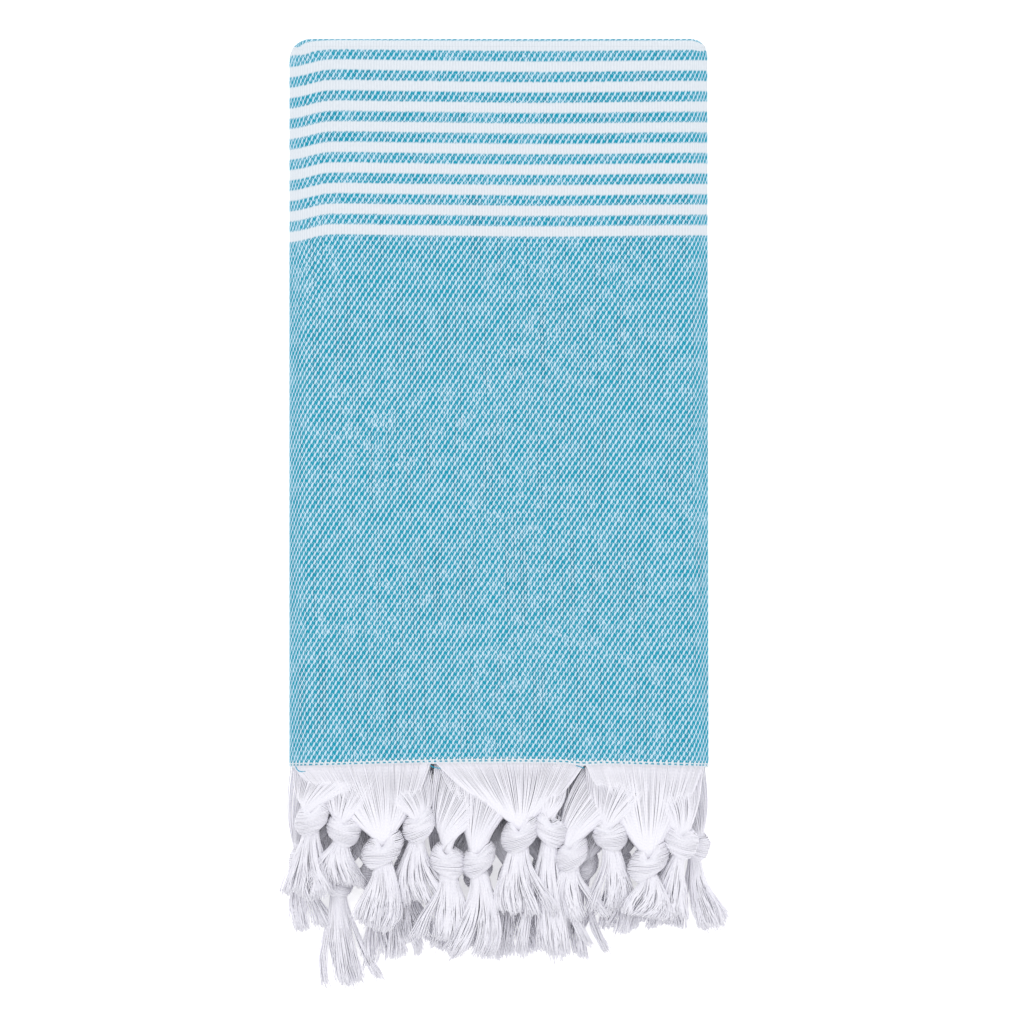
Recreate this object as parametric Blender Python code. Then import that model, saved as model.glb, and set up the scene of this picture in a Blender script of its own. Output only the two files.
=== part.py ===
"""A fringed flat-woven towel, folded to a quarter of its width and a quarter of its length.

Frame: metres, +Z up. The origin is the middle of the underside, +Y runs towards the top folds,
-Y towards the knotted fringe, X runs across the folded width.
"""
import math

import bpy
import bmesh
from mathutils import Vector

# Driving dimensions, in metres.
LEAF_WIDTH = 0.250            # folded width of the cloth
LEAF_LENGTH = 0.436           # hem edge to top fold
LAYER_PITCH = 0.001225        # one layer of cloth in the pile
LAYERS_IN_LEAF = 4            # the width is folded twice
BOTTOM_FOLD_INSET = 0.009     # the hidden bottom fold stops short of the hems
HEM_LENGTH = 0.0028           # white picks that end the weave
CORNER_RADIUS = 0.011         # plan radius of the folded corners
EDGE_ROUNDING = 0.0012        # soft long edges of a leaf
TOUCH_GAP = 0.0003            # clearance between pieces that touch
TASSELS_PER_END = 12
KNOT_THICKNESS = 0.0132
KNOT_LENGTH = 0.020
TAIL_THICKNESS = 0.0052
KNOT_DROP = 0.045             # usual distance from hem to knot

# Sizes that follow from the driving ones.
LEAF_THICKNESS = LAYERS_IN_LEAF * LAYER_PITCH
LEAF_PITCH = LEAF_THICKNESS + TOUCH_GAP
TOP_Y = LEAF_LENGTH / 2
HEM_Y = -LEAF_LENGTH / 2
BOTTOM_FOLD_Y = HEM_Y + BOTTOM_FOLD_INSET
FOLD_RADIUS = LEAF_PITCH
FANS_PER_LAYER = TASSELS_PER_END // LAYERS_IN_LEAF
FAN_WIDTH = LEAF_WIDTH / FANS_PER_LAYER
KNOT_WIDTH = 0.18 * FAN_WIDTH
TAIL_WIDTH = 0.85 * KNOT_WIDTH
FRINGE_TOP = HEM_Y - TOUCH_GAP

# Heights of the knots and tails: the back end lies on the table, the front end lies on it.
BACK_KNOT_Z = TOUCH_GAP + KNOT_THICKNESS / 2
FRONT_KNOT_Z = BACK_KNOT_Z + KNOT_THICKNESS + TOUCH_GAP
BACK_TAIL_Z = TOUCH_GAP + TAIL_THICKNESS / 2
FRONT_TAIL_Z = FRONT_KNOT_Z - KNOT_THICKNESS / 2 + TAIL_THICKNESS / 2
HIGH_TAIL_Z = FRONT_TAIL_Z + TAIL_THICKNESS + TOUCH_GAP

# Tassels from left to right. Each row gives the layer of the leaf that it hangs from (0 is the
# upper one), the fan it is gathered from (0 to 2), the knot's place across the leaf as a share of
# its width, the knot's drop below the hem and the tail's sideways and downward run as shares of
# the usual drop, the knot's width as a share of the usual one, and whether its tail lies on top.
FRONT_TASSELS = [
    (2, 0, -0.446, 0.72, 0.02, 1.05, 1.10, False),
    (1, 0, -0.370, 0.87, -0.10, 0.72, 0.95, False),
    (0, 0, -0.277, 1.11, -0.24, 1.02, 1.30, True),
    (3, 0, -0.190, 0.82, 0.04, 1.00, 0.95, False),
    (2, 1, -0.121, 1.30, -0.12, 1.04, 1.00, False),
    (1, 1, -0.047, 1.27, -0.18, 1.30, 1.20, False),
    (0, 1, 0.052, 0.90, 0.04, 1.10, 1.30, True),
    (3, 1, 0.126, 0.87, 0.14, 1.66, 0.95, False),
    (3, 2, 0.177, 1.20, 0.10, 0.85, 0.88, False),
    (1, 2, 0.269, 0.94, 0.02, 1.00, 0.98, False),
    (0, 2, 0.361, 1.27, -0.26, 0.64, 1.30, True),
    (2, 2, 0.440, 1.03, -0.22, 0.95, 1.00, False),
]
BACK_TASSELS = [
    (3, 0, -0.469, 1.29, 0.10, 0.92, 1.10, False),
    (0, 0, -0.384, 1.60, 0.22, 1.36, 1.00, False),
    (1, 0, -0.300, 1.49, 0.22, 1.15, 1.00, False),
    (2, 0, -0.216, 1.42, 0.20, 0.95, 1.00, False),
    (3, 1, -0.132, 1.51, 0.10, 1.00, 1.00, False),
    (0, 1, -0.048, 1.47, 0.04, 1.02, 1.00, False),
    (1, 1, 0.036, 1.51, 0.14, 1.06, 1.00, False),
    (2, 1, 0.120, 1.47, 0.06, 0.90, 1.00, False),
    (0, 2, 0.204, 1.42, -0.06, 1.15, 1.00, False),
    (1, 2, 0.288, 1.38, -0.06, 0.86, 1.00, False),
    (2, 2, 0.380, 1.42, -0.10, 0.74, 1.00, False),
    (3, 2, 0.474, 1.11, 0.28, 1.05, 1.10, False),
]

GATHER_SHARE = 0.88           # a fan stays flat this far along its run
NECK_SHARE = 0.45             # neck and waist of a knot against its middle
SECTION_SIDES = 10
CORNER_SEGMENTS = 5
LEVELS = 7


def clear_scene():
    for old in list(bpy.data.objects):
        bpy.data.objects.remove(old, do_unlink=True)


def material(name, colour, roughness):
    surface = bpy.data.materials.new(name)
    surface.use_nodes = True
    shader = surface.node_tree.nodes["Principled BSDF"]
    shader.inputs["Base Color"].default_value = (*colour, 1.0)
    shader.inputs["Roughness"].default_value = roughness
    shader.inputs["Metallic"].default_value = 0.0
    return surface


def lofted(name, rings, surface, origin=(0.0, 0.0, 0.0), parent=None):
    """One closed solid from rings of points, each ring as long as the next."""
    pivot = Vector(origin)
    mesh = bpy.data.meshes.new(name)
    shape = bmesh.new()
    rows = [[shape.verts.new(Vector(point) - pivot) for point in ring] for ring in rings]
    for lower, upper in zip(rows, rows[1:]):
        for i in range(len(lower)):
            j = (i + 1) % len(lower)
            shape.faces.new((lower[i], lower[j], upper[j], upper[i]))
    shape.faces.new(list(reversed(rows[0])))
    shape.faces.new(rows[-1])
    bmesh.ops.recalc_face_normals(shape, faces=shape.faces)
    shape.to_mesh(mesh)
    shape.free()
    mesh.materials.append(surface)
    mesh.shade_smooth()
    mesh.set_sharp_from_angle(angle=math.radians(40))
    solid = bpy.data.objects.new(name, mesh)
    bpy.context.collection.objects.link(solid)
    if parent is None:
        solid.location = pivot
    else:
        solid.parent = parent
    return solid


def pivot_empty(name, place):
    """An empty on a joint's axis, which a moving piece is parented to."""
    pivot = bpy.data.objects.new(name, None)
    pivot.location = place
    bpy.context.collection.objects.link(pivot)
    return pivot


def plan_outline(right, low, high, low_radius, high_radius, height):
    """A rectangle in plan with round corners, symmetric about X = 0."""
    corners = [
        (right - low_radius, low + low_radius, low_radius, -90),
        (right - high_radius, high - high_radius, high_radius, 0),
        (-right + high_radius, high - high_radius, high_radius, 90),
        (-right + low_radius, low + low_radius, low_radius, 180),
    ]
    points = []
    for x, y, radius, start in corners:
        for step in range(CORNER_SEGMENTS + 1):
            angle = math.radians(start + 90 * step / CORNER_SEGMENTS)
            points.append((x + radius * math.cos(angle), y + radius * math.sin(angle), height))
    return points


def rounded_inset(depth):
    """How far a face's edge is drawn in at a depth below that face."""
    if depth >= EDGE_ROUNDING:
        return 0.0
    rise = EDGE_ROUNDING - depth
    return EDGE_ROUNDING - math.sqrt(EDGE_ROUNDING ** 2 - rise ** 2)


def fold_inset(distance):
    """How far a leaf's end is drawn in at a height away from the fold's axis."""
    return FOLD_RADIUS - math.sqrt(max(FOLD_RADIUS ** 2 - distance ** 2, 0.0))


def leaf_floor(index):
    """Underside of a leaf, counted up from the back leaf."""
    return index * LEAF_PITCH


def leaf(name, index, top_axis_z, bottom_axis_z, surface):
    """A quarter of the cloth, four layers thick. An end with an axis is half of a fold."""
    floor = leaf_floor(index)
    rings = []
    for level in range(LEVELS):
        share = 0.5 - 0.5 * math.cos(math.pi * level / (LEVELS - 1))
        height = floor + LEAF_THICKNESS * share
        depth = min(height - floor, floor + LEAF_THICKNESS - height)
        side = rounded_inset(depth)
        high = TOP_Y - fold_inset(abs(height - top_axis_z))
        if bottom_axis_z is None:
            low = HEM_Y + HEM_LENGTH + TOUCH_GAP
        else:
            low = BOTTOM_FOLD_Y + fold_inset(abs(height - bottom_axis_z))
        rings.append(plan_outline(LEAF_WIDTH / 2 - side, low, high,
                                  CORNER_RADIUS / 4, CORNER_RADIUS, height))
    return lofted(name, rings, surface)


def hem(name, index, surface):
    """The narrow strip of picks that ends the weave, as thick as its leaf."""
    floor = leaf_floor(index)
    rings = []
    for level in range(LEVELS):
        share = 0.5 - 0.5 * math.cos(math.pi * level / (LEVELS - 1))
        height = floor + LEAF_THICKNESS * share
        side = rounded_inset(min(height - floor, floor + LEAF_THICKNESS - height))
        rings.append(plan_outline(LEAF_WIDTH / 2 - side, HEM_Y, HEM_Y + HEM_LENGTH,
                                  HEM_LENGTH / 4, HEM_LENGTH / 4, height))
    return lofted(name, rings, surface)


def oval_section(centre, heading, half_width, half_thickness):
    """An upright oval ring across a path's heading."""
    across = Vector((-heading.y, heading.x, 0.0)).normalized()
    ring = []
    for side in range(SECTION_SIDES):
        angle = 2 * math.pi * side / SECTION_SIDES
        ring.append(centre + across * (half_width * math.cos(angle))
                    + Vector((0, 0, half_thickness * math.sin(angle))))
    return ring


def flat_section(centre, half_width, half_thickness):
    return [centre + Vector((x * half_width, 0, z * half_thickness))
            for x, z in ((-1, -1), (1, -1), (1, 1), (-1, 1))]


def tassel(side, number, row, leaf_index, pivot_z, knot_z, tail_z, surface):
    """Fringe fan, knot and tail of one gathered bundle, on a pivot along the hem's outer edge."""
    layer, fan, across, drop, run_x, run_y, bulk, _ = row
    label = f"{side}_{number:02d}"
    layer_z = leaf_floor(leaf_index) + LEAF_THICKNESS - LAYER_PITCH * (layer + 0.5)
    fan_x = (fan - (FANS_PER_LAYER - 1) / 2) * FAN_WIDTH
    pivot = pivot_empty(f"pivot_{label}", (fan_x, HEM_Y, pivot_z))
    knot = Vector((across * LEAF_WIDTH, HEM_Y - KNOT_DROP * drop, knot_z))
    neck = knot + Vector((0, KNOT_LENGTH / 2, 0))
    half_knot = KNOT_WIDTH * bulk / 2
    half_neck = half_knot * NECK_SHARE

    # The fan keeps thin while it lies over its neighbours, and gathers just above the knot.
    fan_top = Vector((fan_x, FRINGE_TOP, layer_z))
    fan_end = neck + Vector((0, TOUCH_GAP, 0))
    neck_reach = KNOT_THICKNESS * NECK_SHARE / 2
    fan_end.z = min(max(layer_z, knot_z - neck_reach), knot_z + neck_reach)
    gather = fan_top.lerp(fan_end, GATHER_SHARE)
    gather.z = layer_z
    half_layer = (LAYER_PITCH - TOUCH_GAP) / 2
    half_fan = (FAN_WIDTH - TOUCH_GAP) / 2
    lofted(f"fringe_{label}", [
        flat_section(fan_top, half_fan, half_layer),
        flat_section(gather, half_neck, half_layer),
        flat_section(fan_end, half_neck, half_layer * 1.5),
    ], surface, pivot.location, pivot)

    # Knot: an egg between its neck and its waist. Tail: a flat brush that flares to its cut end.
    down = Vector((0, -1, 0))
    rings = []
    half_thick = KNOT_THICKNESS / 2
    for share in (0.0, 0.12, 0.3, 0.5, 0.7, 0.88):
        swell = math.sqrt(1 - (2 * share - 1) ** 2) if 0 < share < 1 else 0.0
        swell = max(swell, NECK_SHARE)
        rings.append(oval_section(neck + down * (KNOT_LENGTH * share), down,
                                  half_knot * swell, half_thick * swell))
    waist = neck + down * KNOT_LENGTH
    end = Vector((knot.x + KNOT_DROP * run_x, knot.y - KNOT_DROP * run_y, tail_z))
    heading = Vector((end.x - waist.x, end.y - waist.y, 0)).normalized()
    for share, width in ((0.12, 0.75), (0.35, 0.85), (0.7, 1.0), (1.0, 1.0)):
        place = waist.lerp(end, share)
        place.z = waist.z + (tail_z - waist.z) * min(share / 0.35, 1.0)
        rings.append(oval_section(place, heading, TAIL_WIDTH * width * bulk ** 0.5 / 2,
                                  TAIL_THICKNESS / 2))
    lofted(f"tassel_{label}", rings, surface, pivot.location, pivot)


def build():
    clear_scene()
    turquoise = material("turquoise_weave", (0.16, 0.52, 0.66), 0.9)
    banded = material("striped_weave", (0.30, 0.62, 0.74), 0.9)
    white_hem = material("white_hem", (0.82, 0.85, 0.90), 0.9)
    white_yarn = material("white_yarn", (0.85, 0.86, 0.90), 0.95)

    back_fold = leaf_floor(1) - TOUCH_GAP / 2
    bottom_fold = leaf_floor(2) - TOUCH_GAP / 2
    front_fold = leaf_floor(3) - TOUCH_GAP / 2
    leaf("leaf_back", 0, back_fold, None, banded)
    leaf("leaf_third", 1, back_fold, bottom_fold, turquoise)
    leaf("leaf_second", 2, front_fold, bottom_fold, turquoise)
    leaf("leaf_front", 3, front_fold, None, banded)
    hem("hem_back", 0, white_hem)
    hem("hem_front", 3, white_hem)

    for number, row in enumerate(FRONT_TASSELS, 1):
        tassel("front", number, row, 3, leaf_floor(3) + LEAF_THICKNESS, FRONT_KNOT_Z,
               HIGH_TAIL_Z if row[-1] else FRONT_TAIL_Z, white_yarn)
    for number, row in enumerate(BACK_TASSELS, 1):
        tassel("back", number, row, 0, leaf_floor(0), BACK_KNOT_Z, BACK_TAIL_Z, white_yarn)


build()
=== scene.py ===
"""A fringed flat-woven towel, folded in quarters both ways, as it lies on a table."""
import math

import bpy
import numpy as np
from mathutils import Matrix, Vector


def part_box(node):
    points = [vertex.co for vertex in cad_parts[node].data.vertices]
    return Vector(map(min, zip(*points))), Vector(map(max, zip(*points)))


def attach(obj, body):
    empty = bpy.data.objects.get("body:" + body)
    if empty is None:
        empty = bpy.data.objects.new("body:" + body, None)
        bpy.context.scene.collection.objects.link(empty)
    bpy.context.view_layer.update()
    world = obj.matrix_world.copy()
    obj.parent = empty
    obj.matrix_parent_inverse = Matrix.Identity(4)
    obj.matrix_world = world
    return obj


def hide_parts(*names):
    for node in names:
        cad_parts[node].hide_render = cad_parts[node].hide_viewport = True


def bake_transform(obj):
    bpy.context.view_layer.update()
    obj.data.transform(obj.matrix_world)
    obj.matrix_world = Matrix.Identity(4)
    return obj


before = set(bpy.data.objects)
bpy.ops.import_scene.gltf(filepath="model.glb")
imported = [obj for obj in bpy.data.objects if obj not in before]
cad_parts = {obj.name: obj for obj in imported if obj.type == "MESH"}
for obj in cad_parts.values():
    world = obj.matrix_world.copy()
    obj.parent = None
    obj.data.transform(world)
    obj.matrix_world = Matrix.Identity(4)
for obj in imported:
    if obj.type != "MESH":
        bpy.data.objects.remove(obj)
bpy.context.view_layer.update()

# --- Camera and studio ------------------------------------------------------------------------
# A long lens looks straight down, so that the folded cloth keeps its true outline. An even pale
# sky gives most of the light, with a soft lamp above the top left and a weaker one opposite.
VIEW_WIDTH = 0.6144
CAMERA_HEIGHT = 3.0
CAMERA_PLACE = (0.0087, -0.0663)
SENSOR = 36.0
AIM = (0, -0.05, 0)

lens = bpy.data.cameras.new("camera")
lens.sensor_width = SENSOR
lens.lens = SENSOR * CAMERA_HEIGHT / VIEW_WIDTH
lens.clip_end = 20.0
camera = bpy.data.objects.new("camera", lens)
camera.location = (*CAMERA_PLACE, CAMERA_HEIGHT + 0.02)
bpy.context.collection.objects.link(camera)
bpy.context.scene.camera = camera


def soft_light(name, place, size, power):
    """A square lamp that faces the middle of the towel."""
    lamp = bpy.data.lights.new(name, "AREA")
    lamp.size = size
    lamp.energy = power
    holder = bpy.data.objects.new(name, lamp)
    holder.location = place
    holder.rotation_euler = (Vector(AIM) - Vector(place)).to_track_quat("-Z", "Y").to_euler()
    bpy.context.collection.objects.link(holder)
    return holder


soft_light("key", (-0.6, 0.9, 2.0), 1.0, 10)
soft_light("fill", (0.9, -1.1, 1.9), 1.6, 6)

sky = bpy.data.worlds.new("studio")
bpy.context.scene.world = sky
sky.use_nodes = True
sky.node_tree.nodes["Background"].inputs["Color"].default_value = (1.0, 1.0, 1.0, 1.0)
sky.node_tree.nodes["Background"].inputs["Strength"].default_value = 0.92
bpy.context.scene.view_settings.view_transform = "Standard"


# --- Table ------------------------------------------------------------------------------------
# A pale matt tabletop, painted white with hardly any grain. It glows a little, so that it stays as
# pale as the sky. Its paint is the first finish, so the two classes that build finishes are here.
bpy.ops.mesh.primitive_plane_add(size=8.0, location=(0, 0, -0.0002))
table = bpy.context.active_object
table.name = "table"


class Value:
    """A socket that can be used in sums like a number."""

    def __init__(self, tree, socket):
        self.tree = tree
        self.socket = socket

    def math(self, operation, other=None, third=None, swap=False):
        node = self.tree.nodes.new("ShaderNodeMath")
        node.operation = operation
        terms = [other, self] if swap else [self, other]
        for place, term in enumerate(terms + [third]):
            if isinstance(term, Value):
                self.tree.links.new(term.socket, node.inputs[place])
            elif term is not None:
                node.inputs[place].default_value = term
        return Value(self.tree, node.outputs[0])

    def __add__(self, other):
        return self.math("ADD", other)

    def __radd__(self, other):
        return self.math("ADD", other)

    def __sub__(self, other):
        return self.math("SUBTRACT", other)

    def __rsub__(self, other):
        return self.math("SUBTRACT", other, swap=True)

    def __mul__(self, other):
        return self.math("MULTIPLY", other)

    def __rmul__(self, other):
        return self.math("MULTIPLY", other)

    def __truediv__(self, other):
        return self.math("DIVIDE", other)

    def wave(self):
        """A smooth 0 to 1 wave with one crest for each whole number."""
        return (self * (2 * math.pi)).math("COSINE") * 0.5 + 0.5

    def between(self, low, high):
        """0 below low, 1 above high and a smooth rise between them."""
        node = self.tree.nodes.new("ShaderNodeMapRange")
        node.interpolation_type = "SMOOTHSTEP"
        self.tree.links.new(self.socket, node.inputs["Value"])
        node.inputs["From Min"].default_value = low
        node.inputs["From Max"].default_value = high
        return Value(self.tree, node.outputs["Result"])


class Finish:
    """A Principled material and the methods that add nodes to it."""

    def __init__(self, name, roughness, sheen):
        self.material = bpy.data.materials.new(name)
        self.material.use_nodes = True
        self.tree = self.material.node_tree
        self.shader = self.tree.nodes["Principled BSDF"]
        self.shader.inputs["Roughness"].default_value = roughness
        self.shader.inputs["Sheen Weight"].default_value = sheen
        self.shader.inputs["Sheen Roughness"].default_value = 0.5
        self.shader.inputs["Specular IOR Level"].default_value = 0.2

    def node(self, kind, settings, inputs, output=0):
        """Any node, from its type, its settings and the values or links of its sockets."""
        made = self.tree.nodes.new(kind)
        for key, value in settings.items():
            setattr(made, key, value)
        for key, value in inputs.items():
            if isinstance(value, Value):
                self.tree.links.new(value.socket, made.inputs[key])
            else:
                made.inputs[key].default_value = value
        return Value(self.tree, made.outputs[output])

    def surface(self, layer):
        """Across and along places of a UV layer, in metres."""
        spread = self.node("ShaderNodeUVMap", {"uv_map": layer}, {})
        parts = self.tree.nodes.new("ShaderNodeSeparateXYZ")
        self.tree.links.new(spread.socket, parts.inputs[0])
        return Value(self.tree, parts.outputs[0]), Value(self.tree, parts.outputs[1])

    def place(self, x, y, z=0.0):
        return self.node("ShaderNodeCombineXYZ", {}, {"X": x, "Y": y, "Z": z})

    def noise(self, place, scale, detail=1.0):
        return self.node("ShaderNodeTexNoise", {}, {"Vector": place, "Scale": scale, "Detail": detail})

    def mix(self, factor, first, second):
        """Colours first and second, mixed by factor."""
        made = self.tree.nodes.new("ShaderNodeMix")
        made.data_type = "RGBA"
        self.tree.links.new(factor.socket, made.inputs[0])
        for socket, colour in ((made.inputs[6], first), (made.inputs[7], second)):
            if isinstance(colour, Value):
                self.tree.links.new(colour.socket, socket)
            else:
                socket.default_value = (*colour, 1.0)
        return Value(self.tree, made.outputs[2])

    def paint(self, colour):
        self.tree.links.new(colour.socket, self.shader.inputs["Base Color"])

    def relief(self, height, distance, strength):
        sockets = {"Height": height, "Distance": distance, "Strength": strength}
        bump = self.node("ShaderNodeBump", {}, sockets)
        self.tree.links.new(bump.socket, self.shader.inputs["Normal"])


table_finish = Finish("table_paint", 0.9, 0.0)
table_place = table_finish.node("ShaderNodeTexCoord", {}, {}, "Object")
table_grain = table_finish.noise(table_place, 6.0)
table_finish.paint(table_finish.mix(table_grain, (0.93, 0.93, 0.93), (0.95, 0.95, 0.95)))
table_finish.shader.inputs["Emission Color"].default_value = (1.0, 1.0, 1.0, 1.0)
table_finish.shader.inputs["Emission Strength"].default_value = 0.40
table.data.materials.append(table_finish.material)


# --- Cloth ------------------------------------------------------------------------------------
# One length of cotton twill, turquoise and white, with a band of ten white stripes near each end.
# It is folded twice across its width and three times along its length. Each quarter of the
# length is a piece of its own, and a short bend joins it to the next.
CLOTH_THICKNESS = 0.0007
LAYERS = 4                   # of cloth in a leaf, and leaves in the pile
PLAN_CORNER = 0.011          # radius of the folded corners, seen from above
TIP_PITCH = 0.00078          # layers press closer together round a bend
LEFT_ROLL = 0.034            # width of the soft roll along the wrap
RIGHT_ROLL = 0.013           # and along the two small turns
LEFT_SINK = 0.28             # share of the top leaf's height that is pressed out at the wrap
RIGHT_SINK = 0.17            # and at the small turns
HEM_DEPTH = 0.0028           # the white picks past the last turquoise one
BEND_DEPTH = 0.0050          # how far a bend reaches out past the flat cloth
BEND_MEAN = 0.0026           # mean radius of the layers round a bend
BEND_STEPS = 16
BLEND_REACH = 0.00028        # reach above and below a bend's axis
SELVEDGE_GAP = 0.0006        # from the wrap to the selvedges inside it
NIP = 0.052                  # where two top bundles part and the hem dips between them
NIP_REACH = 0.022

back_low, back_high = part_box("leaf_back")
front_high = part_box("leaf_front")[1]
HALF_WIDTH = front_high.x
TOP = front_high.y
PILE = front_high.z
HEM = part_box("hem_front")[0].y
LOW_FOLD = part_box("leaf_second")[0].y
LEAF = back_high.z - back_low.z
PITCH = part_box("leaf_third")[0].z - back_low.z
LAYER = LEAF / LAYERS
BEND_TOP = TOP - BEND_DEPTH
BEND_LOW = LOW_FOLD + BEND_DEPTH
CLOTH_END = HEM + HEM_DEPTH
LEAF_FLOORS = [index * PITCH for index in range(LAYERS)]
back_axis, low_axis, front_axis = (floor - (PITCH - LEAF) / 2 for floor in LEAF_FLOORS[1:])


def smooth(value):
    value = np.clip(value, 0.0, 1.0)
    return value * value * (3 - 2 * value)


def width_path():
    """The width fold, seen along the towel: places across, heights in the leaf and cloth width used.

    It starts at one selvedge inside the wrap, and passes the second, first, fourth and third
    layers from the top, with two small turns at the right and one wide wrap at the left.
    """
    heights = [LEAF - LAYER * (k + 0.5) for k in (1, 0, 3, 2)]
    small = LAYER / 2
    wrap = 1.5 * LAYER
    right = HALF_WIDTH - small - CLOTH_THICKNESS / 2
    left = -HALF_WIDTH + wrap + CLOTH_THICKNESS / 2
    inner = left + SELVEDGE_GAP
    points = []

    def run(start, end, height, count):
        for step in range(count):
            points.append((start + (end - start) * step / count, height))

    def turn(centre, middle, radius, sign, start, count):
        for step in range(count):
            angle = math.radians(start + sign * 180 * step / count)
            points.append((centre + radius * math.cos(angle), middle + radius * math.sin(angle)))

    run(inner, right, heights[0], 44)
    turn(right, (heights[0] + heights[1]) / 2, small, 1, -90, 8)
    run(right, left, heights[1], 64)
    turn(left, (heights[1] + heights[2]) / 2, wrap, 1, 90, 14)
    run(left, right, heights[2], 44)
    turn(right, (heights[2] + heights[3]) / 2, small, 1, -90, 8)
    run(right, inner, heights[3], 44)
    points.append((inner, heights[3]))
    points = np.array(points)
    steps = np.hypot(*np.diff(points, axis=0).T)
    middle = np.abs(points[1:, 0] + points[:-1, 0]) / 2
    steps *= 1 + 1.1 * smooth((middle - HALF_WIDTH + RIGHT_ROLL) / RIGHT_ROLL)
    used = np.concatenate([[0], np.cumsum(steps)])
    return points[:, 0], points[:, 1], used


path_x, path_h, path_used = width_path()


def settle(points):
    """The pile as it lies: sunk sides on the top leaf, round folded corners and an uneven hem."""
    x, y, z = points[:, 0].copy(), points[:, 1].copy(), points[:, 2].copy()
    left = smooth(1 - (x + HALF_WIDTH) / LEFT_ROLL) ** 1.6
    right = smooth(1 - (HALF_WIDTH - x) / RIGHT_ROLL) ** 1.6
    above = np.maximum(z - front_axis, 0)
    ripple = 0.00030 * np.sin(31 * x + 1.3) * np.sin(23 * y + 0.4) + 0.00016 * np.sin(83 * x - 41 * y)
    z -= above * (LEFT_SINK * left + RIGHT_SINK * right)
    z += ripple * (above / (PILE - front_axis)) ** 2
    for side, radius in ((-1, PLAN_CORNER + 0.0015), (1, PLAN_CORNER - 0.0015)):
        across = np.maximum(side * x - (HALF_WIDTH - radius), 0)
        along = np.maximum(y - (TOP - radius), 0)
        reach = np.hypot(across, along)
        share = np.where(reach > 0, np.maximum(across, along) / np.maximum(reach, 1e-9), 1.0)
        x += side * across * (share - 1)
        y += along * (share - 1)
    x += np.maximum(x, 0) / HALF_WIDTH * (0.0013 - 0.0004 * y / TOP)
    edge = smooth((HEM + 0.06 - y) / 0.06)
    y += edge * hem_wave(x)
    return np.stack([x, y, z], axis=1)


def hem_wave(x):
    """How far the hem lies above its line. It hangs lower at both sides and where bundles part."""
    off = x - NIP
    nip = np.maximum(np.cos(math.pi * off / NIP_REACH), 0) * (np.abs(off) < NIP_REACH)
    return 0.0016 * np.cos(math.pi * x / 0.17) - 0.0006 - 0.0007 * nip


def droop(x, y):
    """How far the picks sag towards the roll on the left, near the fold."""
    sag = 0.0038 * smooth((-0.100 - x) / 0.025) - 0.0008 * np.exp(-((x + 0.098) / 0.028) ** 2)
    sag = sag + 0.0004 * np.sin(34 * x + 0.6)
    return sag * smooth(y / 0.08) * (0.45 + 0.55 * smooth((TOP - y) / 0.016))


def cloth_mesh(name, rows, along):
    """A grid of cloth from rows of points, with a UV layer of flat places in metres."""
    count = len(path_x)
    points = settle(np.concatenate(rows))
    faces = []
    for row in range(len(rows) - 1):
        for column in range(count - 1):
            a = row * count + column
            faces.append((a, a + 1, a + count + 1, a + count))
    mesh = bpy.data.meshes.new(name)
    mesh.from_pydata(points.tolist(), [], faces)
    layer = mesh.uv_layers.new(name="cloth")
    flat_u = np.tile(path_used, len(rows))
    flat_v = np.concatenate([np.broadcast_to(value, count) for value in along])
    flat_v = flat_v + droop(points[:, 0], points[:, 1])
    corner = np.empty(len(mesh.loops), dtype=np.int32)
    mesh.loops.foreach_get("vertex_index", corner)
    places = np.stack([flat_u[corner], flat_v[corner]], axis=1)
    layer.data.foreach_set("uv", places.ravel().astype(np.float32))
    mesh.shade_smooth()
    piece = bpy.data.objects.new(name, mesh)
    bpy.context.collection.objects.link(piece)
    return piece


STRIPE_PERIOD = 0.01236
STRIPE_WHITE = 0.00640       # the white part of one period
STRIPES = 10
BAND_START = 0.3140          # cloth end to the first white stripe
TURQUOISE = (0.001, 0.285, 0.415)
PALE = (0.520, 0.700, 0.825)
# The next colour is painted shade, for the grooves between the warp floats.
GROOVE_SHADE = (0.008, 0.130, 0.210)
WHITE = (0.745, 0.790, 0.840)
WHITE_SHADE = (0.600, 0.650, 0.705)
WARP = 0.00175               # from one warp float to the next, across
WARP_SLANT = 15.5            # warps crossed in each metre along, so that the lines lean
FLOAT_STEP = 0.0026875       # how far each float starts above its left neighbour
PICK_STEP = 0.00258          # from one pale weft float to the next, along
PICK_LEAN = 0.36 * PICK_STEP  # how far a weft float leans within its step
WANDER = 0.0016              # how far the threads stray from their straight lines
DASH = 0.0034                # one dash of the broken turquoise pick in the hem


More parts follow.
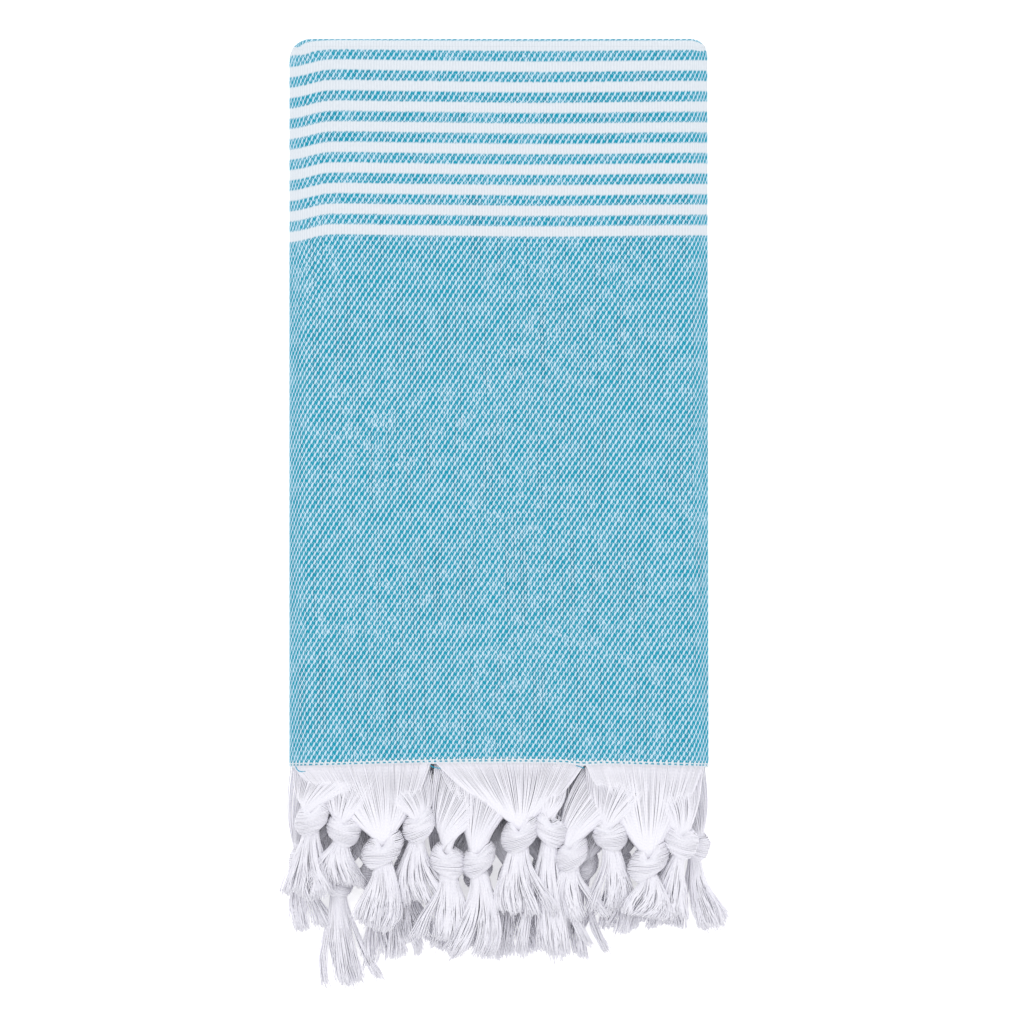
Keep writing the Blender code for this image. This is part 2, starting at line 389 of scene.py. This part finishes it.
def twill_finish():
    """Turquoise warp and pale weft floats in steep diagonal rows, with white bands."""
    finish = Finish("striped_twill", 0.85, 0.18)
    u, v = finish.surface("cloth")
    place = finish.place(u, v)
    loose = finish.noise(place, 9.0, 2.0).between(0.36, 0.62)
    u2 = u + (finish.noise(place, 34.0, 2.0) - 0.5) * WANDER
    v2 = v + (finish.noise(place, 21.0, 2.0) - 0.5) * WANDER
    fleck = finish.noise(finish.place(u2 * 1150, v2 * 420), 1.0, 0.0)
    jitter = (fleck - 0.5) * (loose * 0.40 + 0.20)
    rib = u2 / (2 * WARP) + v2 / (2 * FLOAT_STEP) + jitter
    pick_row = v2 / PICK_STEP
    lean = ((pick_row + 0.5).math("FRACT") - 0.5) * PICK_LEAN
    warp = (u2 + lean) / WARP - v2 * WARP_SLANT
    weave = rib.wave() * 0.42 + (rib - pick_row).wave() * 0.20 + warp.wave() * 0.38
    cloudy = (finish.noise(place, 120.0, 2.0) - 0.5) * 0.30
    pale = (weave + cloudy + (fleck - 0.5) * 0.2).between(0.34, 0.68)
    ground = finish.mix(pale, TURQUOISE, PALE)
    # Painted shade: thin dark streaks laid only in the grooves between the warp floats.
    groove_streaks = finish.noise(finish.place(u * 600, v * 14), 1.0, 0.0).between(0.56, 0.66)
    ground = finish.mix(groove_streaks * (1 - warp.wave()).between(0.55, 0.90) * 0.55, ground, GROOVE_SHADE)

    # White bands: distance along the band in stripe periods.
    turn = (v - BAND_START) / STRIPE_PERIOD
    inside = turn.math("FRACT") * STRIPE_PERIOD
    ragged = (finish.noise(finish.place(u2 * 1400, v * 60), 1.0, 0.0) - 0.5) * 0.0010
    rise = (inside + ragged).between(-0.0002, 0.0012)
    fall = 1 - (inside + ragged).between(STRIPE_WHITE - 0.0004, STRIPE_WHITE + 0.0009)
    in_band = turn.between(-0.001, 0.0) * (1 - turn.between(STRIPES - 0.001, STRIPES))
    white_mask = rise * fall * in_band
    warp_lines = (u2 / WARP).wave() * 0.5 + fleck * 0.5
    white = finish.mix(warp_lines, WHITE_SHADE, WHITE)

    # The hem: white, with one broken turquoise pick, behind a ragged edge.
    hem_mask = 1 - (v - weave * 0.0030 + 0.0012).between(-0.0002, 0.0002)
    off_pick = (v + 0.0013).math("ABSOLUTE") + (fleck - 0.5) * 0.0003
    dash = (u2 / DASH + fleck * 0.3).wave().between(0.40, 0.60)
    pick = (1 - off_pick.between(0.00035, 0.00060)) * dash
    white_mask = white_mask.math("MAXIMUM", hem_mask * (1 - pick * 0.9))
    ground = finish.mix(pick, ground, TURQUOISE)
    finish.paint(finish.mix(white_mask, ground, white))
    finish.relief(weave * 0.7 + fleck * 0.3, 0.00020, 0.50)
    return finish.material


twill = twill_finish()


def finished(piece):
    """Gives the cloth its thickness, with crisp cut edges, and its twill."""
    solid = piece.modifiers.new("thickness", "SOLIDIFY")
    solid.thickness = CLOTH_THICKNESS
    solid.offset = 0.0
    bpy.ops.object.select_all(action="DESELECT")
    bpy.context.view_layer.objects.active = piece
    piece.select_set(True)
    bpy.ops.object.modifier_apply(modifier=solid.name)
    piece.select_set(False)
    piece.data.set_sharp_from_angle(angle=math.radians(40))
    piece.data.materials.append(twill)


def layer_heights(place, upright):
    """Heights of the width fold in the leaf at one place in the pile."""
    return LEAF_FLOORS[place] + (path_h if upright else LEAF - path_h)


def flat_rows(place, upright, low, high, count):
    """Rows of flat cloth from low to high, and how far along each one lies."""
    heights = layer_heights(place, upright)
    places = [low + (high - low) * step / count for step in range(count + 1)]
    return [np.stack([path_x, np.full_like(path_x, y), heights], axis=1) for y in places], places


def leaf(name, place, upright, low, start, direction):
    """One quarter of the cloth's length, which lies flat at its place in the pile."""
    rows, places = flat_rows(place, upright, low, BEND_TOP, 92)
    piece = cloth_mesh("cloth_" + name, rows, [start + direction * (y - low) for y in places])
    finished(piece)
    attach(piece, "leaf_" + name)
    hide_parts("leaf_" + name)
    return piece


def bend(name, place, upright, axis, base, outward, start):
    """The short bend between two leaves, from the upper leaf round to the lower one."""
    heights = layer_heights(place, upright) - axis
    depth = BEND_DEPTH - CLOTH_THICKNESS / 2 - TIP_PITCH * (heights.max() - heights) / LAYER
    rows, along = [], []
    travel = np.full_like(path_x, start)
    for step in range(BEND_STEPS + 1):
        angle = math.pi / 2 - math.pi * step / BEND_STEPS
        y = base + outward * depth * math.cos(angle)
        z = axis + heights * math.sin(angle)
        row = np.stack([path_x, y, z], axis=1)
        if rows:
            travel = travel + np.hypot(row[:, 1] - rows[-1][:, 1], row[:, 2] - rows[-1][:, 2])
        rows.append(row)
        along.append(travel)
    piece = cloth_mesh("bend_" + name, rows, along)
    finished(piece)
    axis - BLEND_REACH
    axis + BLEND_REACH
    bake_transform(piece)
    return piece


front_run = BEND_TOP - CLOTH_END
middle_run = BEND_TOP - BEND_LOW
bend_run = math.pi * BEND_MEAN
half_way = front_run + bend_run + middle_run

cloth_front = leaf("front", 3, True, CLOTH_END, 0.0, 1)
bend_front_top = bend("front_top", 3, True, front_axis, BEND_TOP, 1,
                      front_run)
cloth_second = leaf("second", 2, False, BEND_LOW, half_way, -1)
bend_bottom = bend("bottom", 2, False, low_axis, BEND_LOW, -1,
                   half_way)
cloth_third = leaf("third", 1, True, BEND_LOW, front_run + middle_run + 2 * bend_run, 1)
bend_back_top = bend("back_top", 1, True, back_axis, BEND_TOP, 1,
                     front_run)
cloth_back = leaf("back", 0, False, CLOTH_END, 0.0, 1)


# --- Hems -------------------------------------------------------------------------------------
# The last few picks at each end are white cotton, and one broken turquoise pick lies above them.
# They are woven with the cloth, and the fringe is the warp that runs on past them.
for end, place, upright in (("front", 3, True), ("back", 0, False)):
    rows, places = flat_rows(place, upright, HEM, CLOTH_END, 4)
    piece = cloth_mesh("woven_hem_" + end, rows, [y - CLOTH_END for y in places])
    finished(piece)
    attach(piece, "leaf_" + end)
    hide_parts("hem_" + end)


# --- Fringe bundles ---------------------------------------------------------------------------
# Every bundle gathers a third of one layer's warp into a fan, ties it in one overhand knot and
# lets the cut ends hang below as a tail. Twelve hang from each end of the cloth. The yarn is the
# cloth's own warp: soft white cotton about 0.6 mm thick, which shows a slight twist.
BUNDLES = 12
YARN = 0.00030               # radius of one yarn
YARN_TWIST = 0.0021          # length of one turn of its twist
FRONT_LAYER = [2, 1, 0, 3, 2, 1, 0, 3, 3, 1, 0, 2]
BACK_LAYER = [3, 0, 1, 2, 3, 0, 1, 2, 0, 1, 2, 3]
COLUMNS = ((-0.1225, -0.0400), (-0.0375, 0.0522), (0.0527, 0.1235))
TOPS = (3, 7, 11)            # the bundle on top of each column of four


def carried_frames(lines):
    """Tangents and two cross directions along many lines, carried on without sudden turns."""
    tangents = np.gradient(lines, axis=1)
    tangents /= np.linalg.norm(tangents, axis=2, keepdims=True) + 1e-12
    side = np.cross(tangents[:, 0], np.array([0.0, 0.0, 1.0]))
    side[np.linalg.norm(side, axis=1) < 1e-6] = (1.0, 0.0, 0.0)
    sides = np.empty_like(lines)
    for step in range(lines.shape[1]):
        tangent = tangents[:, step]
        side = side - tangent * np.sum(side * tangent, axis=1, keepdims=True)
        side /= np.linalg.norm(side, axis=1, keepdims=True) + 1e-12
        sides[:, step] = side
    return tangents, sides, np.cross(tangents, sides)


def yarn_mesh(name, lines, thickness, sides, material):
    """One mesh of closed yarns. lines is yarns by points by 3, thickness one radius for each point."""
    lines = np.asarray(lines, float)
    yarns, count = lines.shape[:2]
    thickness = np.broadcast_to(np.asarray(thickness, float), (yarns, count))
    _, across, up = carried_frames(lines)
    angles = 2 * math.pi * np.arange(sides) / sides
    ring = (across[:, :, None] * np.cos(angles)[None, None, :, None]
            + up[:, :, None] * np.sin(angles)[None, None, :, None])
    points = lines[:, :, None] + ring * thickness[:, :, None, None]
    index = np.arange(yarns * count * sides).reshape(yarns, count, sides)
    here, there = index[:, :-1], index[:, 1:]
    walls = np.stack([here, np.roll(here, -1, axis=2), np.roll(there, -1, axis=2), there], axis=-1)
    walls = walls.reshape(-1, 4)[:, ::-1]
    caps = [list(index[y, 0]) for y in range(yarns)]
    caps += [list(index[y, -1][::-1]) for y in range(yarns)]
    mesh = bpy.data.meshes.new(name)
    mesh.from_pydata(points.reshape(-1, 3).tolist(), [], walls.tolist() + caps)
    steps = np.linalg.norm(np.diff(lines, axis=1), axis=2)
    length = np.concatenate([np.zeros((yarns, 1)), np.cumsum(steps, axis=1)], axis=1)
    flat = np.stack([np.broadcast_to(np.arange(yarns)[:, None, None] + 0.25, index.shape),
                     np.broadcast_to(length[:, :, None], index.shape)], axis=-1).reshape(-1, 2)
    corner = np.empty(len(mesh.loops), dtype=np.int32)
    mesh.loops.foreach_get("vertex_index", corner)
    mesh.uv_layers.new(name="yarn").data.foreach_set("uv", flat[corner].ravel().astype(np.float32))
    mesh.shade_smooth()
    mesh.materials.append(material)
    piece = bpy.data.objects.new(name, mesh)
    bpy.context.collection.objects.link(piece)
    return piece


def yarn_finish(name, light, shade):
    """Matt cotton with a slight twist along each yarn and slight changes from yarn to yarn. Each turn of
    the twist is also painted as a faint shade.
    """
    finish = Finish(name, 0.9, 0.15)
    number, along = finish.surface("yarn")
    place = finish.node("ShaderNodeTexCoord", {}, {}, "Object")
    soft = finish.noise(place, 900.0, 1.0)
    own = finish.noise(finish.place(number * 7.31, along * 40.0), 1.0, 0.0)
    # Painted shade: the colour darkens a little once each turn of the twist. The rest of the tone changes
    # at random from yarn to yarn.
    twist = (along / YARN_TWIST + own * 2.0).wave()
    tone = (own * 0.55 + soft * 0.25 + twist * 0.20).between(0.28, 0.62)
    finish.paint(finish.mix(tone, shade, light))
    finish.relief(twist * 0.5 + soft * 0.5, 0.00012, 0.5)
    return finish.material


white_yarn = yarn_finish("white_cotton_yarn", (0.90, 0.89, 0.95), (0.84, 0.835, 0.90))


def ring_centres(node):
    """Middle of the neck and of the cut end of a tassel's solid."""
    corners = np.array([v.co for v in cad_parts[node].data.vertices])
    neck = corners[corners[:, 1] > corners[:, 1].max() - 1e-4].mean(axis=0)
    tip = corners[corners[:, 1] < corners[:, 1].min() + 0.002].mean(axis=0)
    return neck, tip


def fan(name, left, right, height, neck, half_neck, neck_depth, draw, twist, count, steps, sides, rng):
    """Loose yarns from the hem, gathered into a round neck that goes into the notch of a knot."""
    share = ((np.arange(count) + 0.5) / count)[:, None]
    offset = share * 2 - 1
    dome = np.sqrt(1 - offset ** 2)
    depth = (np.arange(count) % 3)[:, None]
    t = np.linspace(0, 1, steps)[None, :]
    start_x = left + (right - left) * share + rng.normal(0, 0.00012, (count, 1))
    start_y = HEM + 0.0008 + hem_wave(start_x)
    start_z = height + 0.0003 - depth * 0.0003
    side, rise = offset * half_neck, dome * neck_depth * (1 - 0.8 * depth)
    turn = twist * smooth((t - 0.4) / 0.6)
    gathered = 1 - (1 - t) ** draw
    bundle_x = neck[0] + side * np.cos(turn) - rise * np.sin(turn)
    bundle_z = neck[2] + side * np.sin(turn) * 0.7 + rise * np.cos(turn)
    clump = np.sin(share * 37 + rng.uniform(0, 6.28)) + np.sin(share * 71 + rng.uniform(0, 6.28))
    slack = np.sin(math.pi * t)
    bow = offset * 0.0030 + clump * 0.0002 + rng.normal(0, 0.00012, (count, 1))
    x = start_x + (bundle_x - start_x) * gathered + slack * bow
    end_y = neck[1] - 0.0085 + 0.0050 * np.abs(offset)
    y = start_y + (end_y - start_y) * t - slack * np.abs(offset) * 0.0022
    lift = np.sin(math.pi * t ** 0.8) * (0.0016 * dome + clump * 0.00012)
    z = start_z + (bundle_z - start_z) * smooth(t ** 0.9) + lift
    z = np.maximum(z, YARN * 1.2)
    return yarn_mesh(name, np.stack([x, y, z], axis=2), YARN, sides, white_yarn)


def knot(name, centre, half_width, half_length, half_depth, lean, slant, notch, count, steps, rng):
    """An overhand knot pulled tight: yarns wrapped round the bundle in one plump, slanted band.

    The band is parted at the top of its front, where the fan goes in.
    """
    level = ((np.arange(count) + 0.5) / count * 2 - 1)[:, None] + rng.normal(0, 0.010, (count, 1))
    phi = np.linspace(-1.06 * math.pi, 1.06 * math.pi, steps)[None, :]
    swell = np.sqrt(np.maximum(1 - np.abs(level * 0.96) ** 2.4, 0.03))
    loose = 1 + 0.02 * np.sin(phi * rng.uniform(1, 3, (count, 1)) + rng.uniform(0, 6.28, (count, 1)))
    size = swell * loose * (1 - 0.05 * (np.arange(count) % 3)[:, None])
    bulge = 1 + 0.12 * np.sin(phi - 0.5) * smooth(level + 0.3)
    x = half_width * size * bulge * np.sin(phi)
    z = half_depth * size * np.cos(phi)
    front = np.cos(phi) > 0
    parting = np.maximum(1 - np.abs(np.sin(phi)) / 0.60, 0) ** 0.8 * front
    dip = notch * smooth((level + 0.2) / 1.2) * parting
    sag = 0.14 * np.cos(phi)
    y = half_length * (level * 0.90 - dip - sag + slant * np.sin(phi) + 0.08 * phi / math.pi)
    z -= dip * half_depth * 0.35
    cos, sin = math.cos(lean), math.sin(lean)
    lines = np.stack([x * cos - y * sin, x * sin + y * cos, z], axis=2) + centre
    lines[:, :, 2] = np.maximum(lines[:, :, 2], YARN * 1.4)
    return yarn_mesh(name, lines, YARN * 1.15, 4, white_yarn)


def tail(name, start, end, half_width, half_depth, sweep, count, steps, rng):
    """The cut ends below a knot: a loose brush in a few locks of uneven length."""
    offset = (np.arange(count) + 0.5) / count * 2 - 1
    dome = np.sqrt(1 - offset ** 2) * (1 - 0.45 * (np.arange(count) % 4))
    t = np.linspace(0, 1, steps)[None, :]
    locks = np.clip(((offset + rng.normal(0, 0.10, count)) * 0.5 + 0.5) * 7, 0, 6.99).astype(int)
    offset, dome = offset[:, None], dome[:, None]
    lock_place = ((locks + 0.5) / 3.5 - 1)[:, None]
    lock_bend = rng.normal(0, 0.0046, 7)[locks][:, None]
    lock_rise = rng.normal(0, 0.0010, 7)[locks][:, None]
    lock_length = rng.normal(0, 0.030, 7)[locks][:, None]
    lock_phase = rng.uniform(0, 6.28, 7)[locks][:, None]
    length = 0.98 + rng.normal(0, 0.030, (count, 1)) + lock_length - 0.06 * offset ** 2
    along = t * length
    run = end - start
    heading = run / np.linalg.norm(run)
    across = np.array([-heading[1], heading[0], 0.0])
    across /= np.linalg.norm(across)
    flare = 0.36 + 0.64 * smooth(along * 1.15)
    held = offset + (lock_place - offset) * 0.14 * t
    wave = np.sin(2.4 * math.pi * along + lock_phase) * 0.0008 * t
    own = np.sin(rng.uniform(5, 14, (count, 1)) * along + rng.uniform(0, 6.28, (count, 1)))
    own = own * rng.uniform(0.0001, 0.0008, (count, 1)) * t
    stray = np.clip(rng.normal(0, 1, (count, 1)) ** 3, -5, 5) * 0.0006 * t ** 2
    shift = held * half_width * flare + wave + own + stray + lock_bend * t ** 2
    shift = shift + sweep * (along ** 2 - along)
    rise = dome * half_depth * (0.9 + 0.3 * np.sin(math.pi * np.minimum(along * 1.2, 1)))
    lines = start + run * along[:, :, None] + across * shift[:, :, None]
    lines[:, :, 2] += rise + own[:, ::-1] * 0.6 + lock_rise * t
    lines[:, :, 2] = np.maximum(lines[:, :, 2], YARN * 1.3)
    return yarn_mesh(name, lines, YARN * 0.95, 4, white_yarn)


# Each bundle's own shape: half width of the tail, sideways sweep of the tail, slant of the
# wraps, how early the fan is gathered and how far its neck is twisted.
SHAPES = {
    1: (0.0125, 0.006, 0.20, 1.8, 0.8),
    2: (0.0130, 0.009, -0.18, 1.6, 0.4),
    3: (0.0160, -0.016, 0.24, 1.15, 0.0),
    4: (0.0120, 0.012, 0.15, 1.5, 0.3),
    5: (0.0140, -0.014, -0.25, 2.0, 2.0),
    6: (0.0150, -0.020, 0.22, 2.2, 0.6),
    7: (0.0160, 0.009, 0.20, 1.15, 0.0),
    8: (0.0135, 0.016, -0.30, 2.2, 1.6),
    9: (0.0140, 0.014, 0.18, 1.6, 0.8),
    10: (0.0140, -0.010, -0.15, 1.6, 0.5),
    11: (0.0150, -0.018, 0.28, 1.15, 0.0),
    12: (0.0100, 0.008, -0.20, 2.0, 0.4),
}
bundle_pieces = {"front": [], "back": []}
for side_name, layers, leaf_index in (("front", FRONT_LAYER, 3), ("back", BACK_LAYER, 0)):
    shown = side_name == "front"
    for number in range(1, BUNDLES + 1):
        label = f"{side_name}_{number:02d}"
        rng = np.random.default_rng(number + (0 if shown else 100))
        top = shown and number in TOPS
        fan_low, fan_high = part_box("fringe_" + label)
        neck, tip = ring_centres("tassel_" + label)
        left, right = fan_low.x, fan_high.x
        if shown:
            column_left, column_right = COLUMNS[(number - 1) // 4]
            left = column_left if top else max(left, column_left)
            right = column_right if top else min(right, column_right)
        layer_z = LEAF_FLOORS[leaf_index] + LEAF - LAYER * (layers[number - 1] + 0.5)
        tail_width, sweep, slant, draw, twist = SHAPES[number]
        if not shown:
            draw, twist = 1.2, 0.0
        half_width = 0.0114 if top else 0.0102 if shown else 0.0094
        half_depth = 0.0078 if shown else 0.0066
        half_length = half_width * 1.02
        notch = 0.62 if top else 0.35
        lean = rng.uniform(-0.25, 0.25)
        count, steps, sides = (280, 14, 5) if top else (170, 12, 4) if shown else (100, 10, 4)
        wraps, knot_steps, ends = (66, 44, 360) if shown else (46, 30, 240)
        yarns = fan("yarn_fan_" + label, left, right, layer_z, neck, half_width * 0.55, 0.0044,
                    draw, twist, count, steps, sides, rng)
        centre = neck + np.array([0.0, -half_length * 0.86, 0.0012 if top else 0.0])
        tied = knot("knot_" + label, centre, half_width, half_length, half_depth, lean, slant, notch,
                    wraps, knot_steps, rng)
        waist = centre + np.array([0.0, -half_length * 0.55, 0.0])
        brush = tail("tail_" + label, waist, tip, tail_width, 0.0030, sweep, ends, 12, rng)
        for piece in (yarns, tied, brush):
            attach(piece, "bundle_" + label)
            bundle_pieces[side_name].append(piece)
        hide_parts("fringe_" + label)
        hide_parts("tassel_" + label)


# --- Loose ends -------------------------------------------------------------------------------
# The turquoise pick in the hem is a cut cotton yarn. It is broken where two bundles part, and its
# curled ends stick out over the fringe, held only by the weave.
def sampled(corners, count):
    """A smooth line through corner points."""
    places = np.linspace(0, len(corners) - 1, count)
    axes = np.array(corners).T
    line = np.stack([np.interp(places, range(len(corners)), axis) for axis in axes], axis=1)
    for _ in range(3):
        line[1:-1] = (line[:-2] + 2 * line[1:-1] + line[2:]) / 4
    return line


blue_yarn = yarn_finish("turquoise_yarn", (0.03, 0.42, 0.62), (0.012, 0.26, 0.42))
PICK_HEIGHT = PILE + 0.0001
PICK_YARN = 0.00026          # radius of the pick
PICK_ENDS = {
    "bundle_front_03": [[(-0.1212, -0.2188), (-0.1200, -0.2212), (-0.1180, -0.2222), (-0.1152, -0.2218)]],
    "bundle_front_07": [[(-0.0404, -0.2182), (-0.0394, -0.2190), (-0.0372, -0.2198), (-0.0342, -0.2200)],
                        [(0.0470, -0.2184), (0.0486, -0.2188), (0.0504, -0.2193), (0.0520, -0.2200)]],
}
for body, ends in PICK_ENDS.items():
    lines = [sampled([(x, y, PICK_HEIGHT) for x, y in corners], 14) for corners in ends]
    pick_end = yarn_mesh("loose_pick_" + body[-2:], lines, PICK_YARN, 6, blue_yarn)
    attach(pick_end, body)
